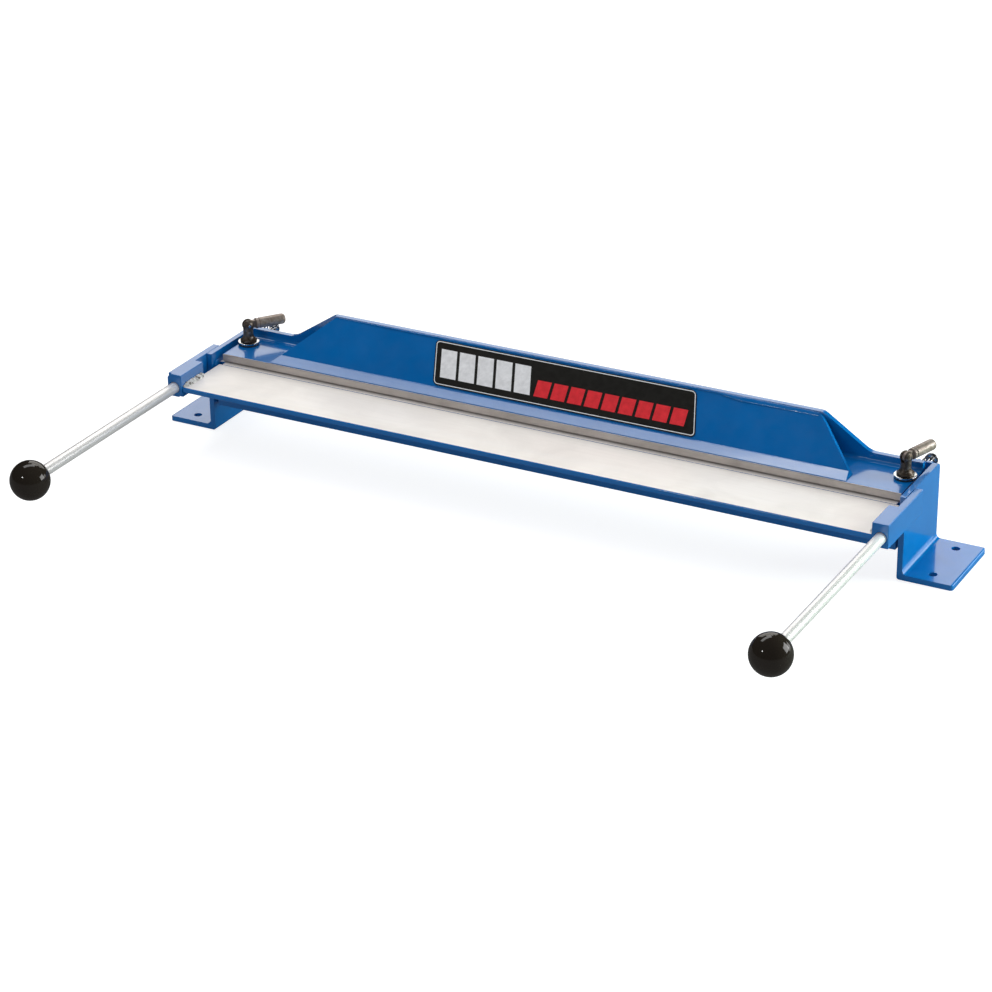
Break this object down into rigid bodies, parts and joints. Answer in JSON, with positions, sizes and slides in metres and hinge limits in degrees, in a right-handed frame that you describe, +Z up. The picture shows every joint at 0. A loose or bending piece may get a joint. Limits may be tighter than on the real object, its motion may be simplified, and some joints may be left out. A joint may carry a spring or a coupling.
{
  "type": "sheet metal brake",
  "caption": "Bench sheet metal folder: hinged leaf with two ball-ended handles, sprung clamp bar held by folding-lever clamp nuts, angle end brackets with bolt-down feet.",
  "frame": {"origin": "centre of the object's footprint at the underside of the feet", "axes": "+X along the working width to the right of someone at the handles, +Y from the handles towards the clamp bar, +Z up"},
  "size_m": [0.927, 0.469, 0.1309],
  "materials": {
    "blue_paint": "semi-gloss blue paint",
    "bare_steel": "bare ground plate, lightly streaked",
    "zinc": "bright zinc plate",
    "black_oxide": "worn dark oxide",
    "spring_steel": "dark drawn wire",
    "phenolic": "glossy black",
    "brass": "turned brass",
    "weld_metal": "bare weld bead",
    "label": "satin printed label"
  },
  "bodies": {
    "frame": {"bed": "blue_paint", "end_bracket_left": "blue_paint", "end_bracket_right": "blue_paint", "bed_weld_left": "weld_metal", "bed_weld_right": "weld_metal", "hinge_pin_left": "zinc", "hinge_pin_right": "zinc", "clamp_stud_left": "zinc", "clamp_stud_right": "zinc", "stud_nut_left": "zinc", "stud_nut_right": "zinc", "lift_spring_left": "spring_steel", "lift_spring_right": "spring_steel"},
    "leaf": {"folding_leaf": "bare_steel", "arm_left": "blue_paint", "arm_right": "blue_paint", "leaf_weld_left": "weld_metal", "leaf_weld_right": "weld_metal", "handle_rod_left": "zinc", "handle_rod_right": "zinc", "knob_left": "phenolic", "knob_right": "phenolic", "knob_insert_left": "brass", "knob_insert_right": "brass"},
    "clamp_bar_body": {"clamp_bar": "blue_paint", "stiffener_panel": "blue_paint", "ridge_weld": "blue_paint", "label_plate": "label", "spacer_left": "black_oxide", "spacer_right": "black_oxide", "washer_left": "zinc", "washer_right": "zinc", "adjuster_stud_left": "zinc", "adjuster_stud_right": "zinc", "adjuster_seat_left": "zinc", "adjuster_seat_right": "zinc", "adjuster_washer_left": "zinc", "adjuster_washer_right": "zinc", "adjuster_spring_left": "spring_steel", "adjuster_spring_right": "spring_steel", "adjuster_nut_left": "zinc", "adjuster_nut_right": "zinc"},
    "clamp_head_left": {"clamp_nut_left": "black_oxide", "lever_pin_left": "zinc"},
    "clamp_head_right": {"clamp_nut_right": "black_oxide", "lever_pin_right": "zinc"},
    "lever_left": {"clamp_lever_left": "black_oxide"},
    "lever_right": {"clamp_lever_right": "black_oxide"}
  },
  "joints": [
    {"name": "leaf_fold", "type": "hinge", "parent": "frame", "child": "leaf", "pos_m": [0, 0.1265, 0.077], "axis": [-1, 0, 0], "range_deg": [0, 100]},
    {"name": "bar_lift", "type": "slide", "parent": "frame", "child": "clamp_bar_body", "axis": [0, 0, 1], "range_m": [-0.00125, 0.0025], "stiffness_N_per_m": 600, "springref_m": 0.01, "deforming": ["lift_spring_left", "lift_spring_right"]},
    {"name": "nut_turn_left", "type": "hinge", "parent": "clamp_bar_body", "child": "clamp_head_left", "pos_m": [-0.3889, 0.1698, 0.11], "axis": [0, 0, 1], "range_deg": [-360, 720]},
    {"name": "lever_fold_left", "type": "hinge", "parent": "clamp_head_left", "child": "lever_left", "pos_m": [-0.3889, 0.1698, 0.11], "axis": [0.7986, -0.6018, 0], "range_deg": [0, 90]},
    {"name": "nut_turn_right", "type": "hinge", "parent": "clamp_bar_body", "child": "clamp_head_right", "pos_m": [0.3889, 0.1698, 0.11], "axis": [0, 0, 1], "range_deg": [-360, 720]},
    {"name": "lever_fold_right", "type": "hinge", "parent": "clamp_head_right", "child": "lever_right", "pos_m": [0.3889, 0.1698, 0.11], "axis": [0.9563, -0.2924, 0], "range_deg": [0, 90]}
  ],
  "couplings": [
    {"joint": "nut_turn_left", "follows": "bar_lift", "rad_per_m": 5026.5},
    {"joint": "nut_turn_right", "follows": "bar_lift", "rad_per_m": 5026.5}
  ]
}
